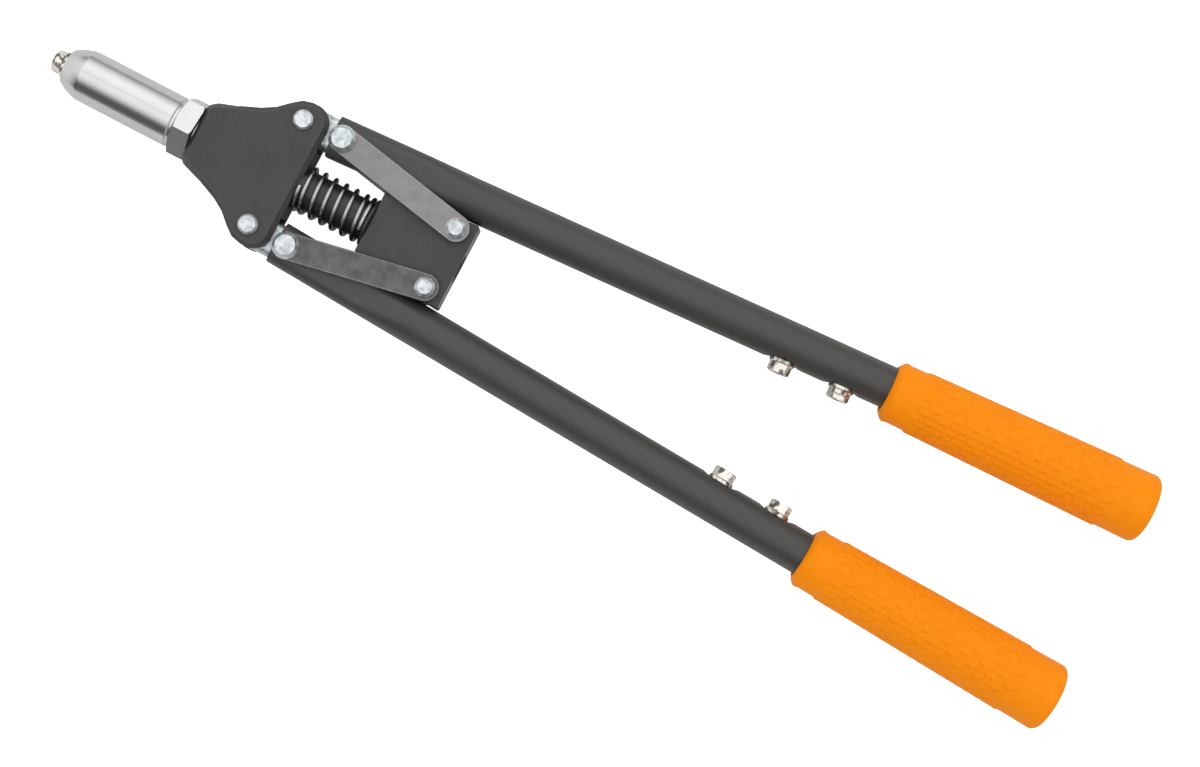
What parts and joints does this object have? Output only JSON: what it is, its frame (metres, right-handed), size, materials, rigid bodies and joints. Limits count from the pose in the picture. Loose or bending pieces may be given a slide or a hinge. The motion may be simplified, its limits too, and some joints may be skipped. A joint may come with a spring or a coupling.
{
  "type": "hand riveter",
  "caption": "Two-handed blind rivet setter: long tubular lever arms with grips swing on a forked body, and links drive a spring-loaded traverse that pulls the jaws in a screwed nose.",
  "frame": {"origin": "centre of the front face of the nosepiece in use, on the tool's axis", "axes": "+X from the nose to the handles, +Y towards the right arm, +Z normal to the plane in which the arms swing"},
  "size_m": [0.5296, 0.1276, 0.0322],
  "materials": {
    "nickel": "polished nickel plate",
    "zinc": "bright zinc plate",
    "arm_coat": "satin charcoal coating",
    "grip_orange": "soft moulded, raised ovals",
    "link_steel": "tumbled bare steel",
    "black_casting": "matte black on a cast skin",
    "black_oxide": "black oxide",
    "spring_steel": "oiled spring steel",
    "hard_steel": "machined, hardened"
  },
  "bodies": {
    "frame": {"front_body": "black_casting", "nose_housing": "nickel", "lock_nut": "nickel", "nosepiece": "nickel", "right_pivot_pin": "zinc", "left_pivot_pin": "zinc", "main_spring": "spring_steel"},
    "right_arm": {"right_knuckle": "zinc", "right_arm_tube": "arm_coat", "right_grip": "grip_orange", "right_spare_nose_front": "nickel", "right_spare_nose_rear": "nickel", "right_link_pin": "zinc"},
    "left_arm": {"left_knuckle": "zinc", "left_arm_tube": "arm_coat", "left_grip": "grip_orange", "left_spare_nose_front": "nickel", "left_spare_nose_rear": "nickel", "left_link_pin": "zinc"},
    "right_links": {"right_link_top": "link_steel", "right_link_bottom": "link_steel", "right_traverse_pin": "zinc"},
    "left_links": {"left_link_top": "link_steel", "left_link_bottom": "link_steel", "left_traverse_pin": "zinc"},
    "carriage": {"traverse": "black_casting", "pull_rod": "hard_steel", "spring_sleeve": "black_oxide", "spring_washer": "black_oxide", "jaw_case": "hard_steel", "jaw_case_nut": "hard_steel", "jaw_spring": "spring_steel"},
    "pusher": {"jaw_pusher": "hard_steel"},
    "first_jaw": {"jaw_a": "hard_steel"},
    "second_jaw": {"jaw_b": "hard_steel"},
    "third_jaw": {"jaw_c": "hard_steel"}
  },
  "joints": [
    {"name": "right_arm_swing", "type": "hinge", "parent": "frame", "child": "right_arm", "pos_m": [0.1132, 0.0263, 0], "axis": [0, 0, 1], "range_deg": [0, 60]},
    {"name": "left_arm_swing", "type": "hinge", "parent": "frame", "child": "left_arm", "pos_m": [0.1132, -0.0263, 0], "axis": [0, 0, -1], "range_deg": [0, 60.5]},
    {"name": "carriage_slide", "type": "slide", "parent": "frame", "child": "carriage", "axis": [-1, 0, 0], "range_m": [0, 0.0137], "stiffness_N_per_m": 2800, "springref_m": -0.01, "deforming": ["main_spring"]},
    {"name": "right_link_swing", "type": "hinge", "parent": "right_arm", "child": "right_links", "pos_m": [0.1325, 0.02685, 0], "axis": [0, 0, -1], "range_deg": [0, 76.5]},
    {"name": "left_link_swing", "type": "hinge", "parent": "left_arm", "child": "left_links", "pos_m": [0.1325, -0.02685, 0], "axis": [0, 0, 1], "range_deg": [0, 76.5]},
    {"name": "pusher_slide", "type": "slide", "parent": "carriage", "child": "pusher", "axis": [1, 0, 0], "range_m": [0, 0.0015], "stiffness_N_per_m": 400, "springref_m": -0.003, "deforming": ["jaw_spring"]},
    {"name": "jaw_a_slide", "type": "slide", "parent": "carriage", "child": "first_jaw", "axis": [0.9877, 0, 0.1564], "range_m": [0, 0.0016]},
    {"name": "jaw_b_slide", "type": "slide", "parent": "carriage", "child": "second_jaw", "axis": [0.9877, -0.1355, -0.0782], "range_m": [0, 0.0016]},
    {"name": "jaw_c_slide", "type": "slide", "parent": "carriage", "child": "third_jaw", "axis": [0.9877, 0.1355, -0.0782], "range_m": [0, 0.0016]}
  ],
  "couplings": [
    {"joint": "left_arm_swing", "follows": "right_arm_swing", "ratio": 1},
    {"joint": "carriage_slide", "follows": "right_arm_swing", "m_per_rad": 0.0129},
    {"joint": "right_link_swing", "follows": "right_arm_swing", "ratio": 1.265},
    {"joint": "left_link_swing", "follows": "right_arm_swing", "ratio": 1.265},
    {"joint": "jaw_a_slide", "follows": "pusher_slide", "ratio": 1.0125},
    {"joint": "jaw_b_slide", "follows": "pusher_slide", "ratio": 1.0125},
    {"joint": "jaw_c_slide", "follows": "pusher_slide", "ratio": 1.0125}
  ]
}
